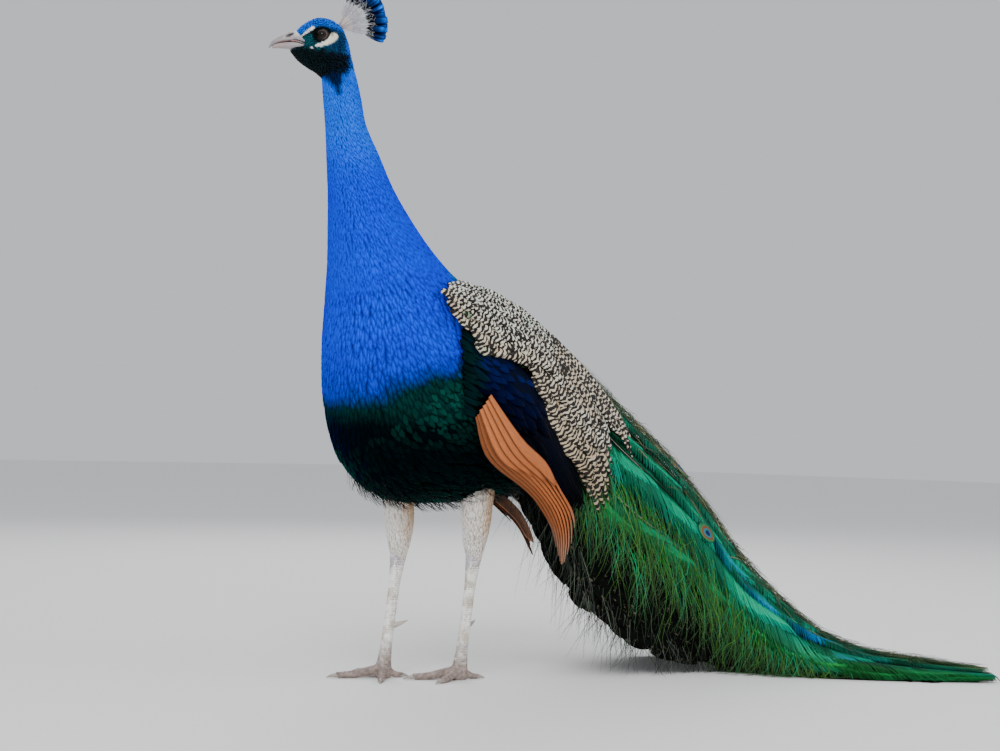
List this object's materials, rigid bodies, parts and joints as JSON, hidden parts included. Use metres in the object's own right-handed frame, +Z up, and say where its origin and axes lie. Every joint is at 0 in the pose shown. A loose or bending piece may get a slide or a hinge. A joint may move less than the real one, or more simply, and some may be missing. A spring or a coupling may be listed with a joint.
{
  "type": "peacock",
  "caption": "Standing male Indian peafowl, life size, with upright neck, fan crest, folded wings and a long train of eyed feathers laid out behind it to one side",
  "frame": {"origin": "middle of the underside of the bounding box, on the floor between and behind the feet", "axes": "+Z up; the trunk's front points to -X, its left side to -Y; the train's end bends towards -Y"},
  "size_m": [0.9251, 0.4815, 0.9112],
  "materials": {
    "neck_feathers": "iridescent cobalt blue hair-like feathers",
    "head_feathers": "short velvety blue feathers with bare white skin patches",
    "belly_feathers": "dark green scale feathers",
    "crest_feathers": "pale bare shafts with blue-green tips",
    "wing_barred": "cream and black wavy barred feathers",
    "wing_dark": "blue-black flight feathers",
    "wing_rufous": "orange-brown flight feathers with pale shafts",
    "train_feathers": "iridescent green loose-barbed train feathers with eyespots",
    "tail_feathers": "black-brown stiff tail feathers",
    "thigh_feathers": "short cream feathers",
    "leg_skin": "grey-buff scaled skin",
    "bill": "pale horn",
    "claw": "dark horn",
    "eye": "dark brown glossy eye"
  },
  "bodies": {
    "root": {"belly": "belly_feathers", "bill_lower": "bill", "bill_upper": "bill", "breast": "neck_feathers", "claw_hind_left": "claw", "claw_hind_right": "claw", "claw_inner_left": "claw", "claw_inner_right": "claw", "claw_middle_left": "claw", "claw_middle_right": "claw", "claw_outer_left": "claw", "claw_outer_right": "claw", "crest": "crest_feathers", "eye_left": "eye", "eye_right": "eye", "foot_left": "leg_skin", "foot_right": "leg_skin", "head": "head_feathers", "neck_lower": "neck_feathers", "neck_upper": "neck_feathers", "rump": "belly_feathers", "spur_left": "claw", "spur_right": "claw", "tail": "tail_feathers", "tarsus_left": "leg_skin", "tarsus_right": "leg_skin", "thigh_left": "thigh_feathers", "thigh_right": "thigh_feathers", "train_end": "train_feathers", "train_lower_left": "train_feathers", "train_lower_right": "train_feathers", "train_middle_left": "train_feathers", "train_middle_right": "train_feathers", "train_upper_left": "train_feathers", "train_upper_right": "train_feathers", "wing_left_coverts": "wing_barred", "wing_left_primaries": "wing_rufous", "wing_left_secondaries": "wing_dark", "wing_right_coverts": "wing_barred", "wing_right_primaries": "wing_rufous", "wing_right_secondaries": "wing_dark"}
  },
  "joints": []
}
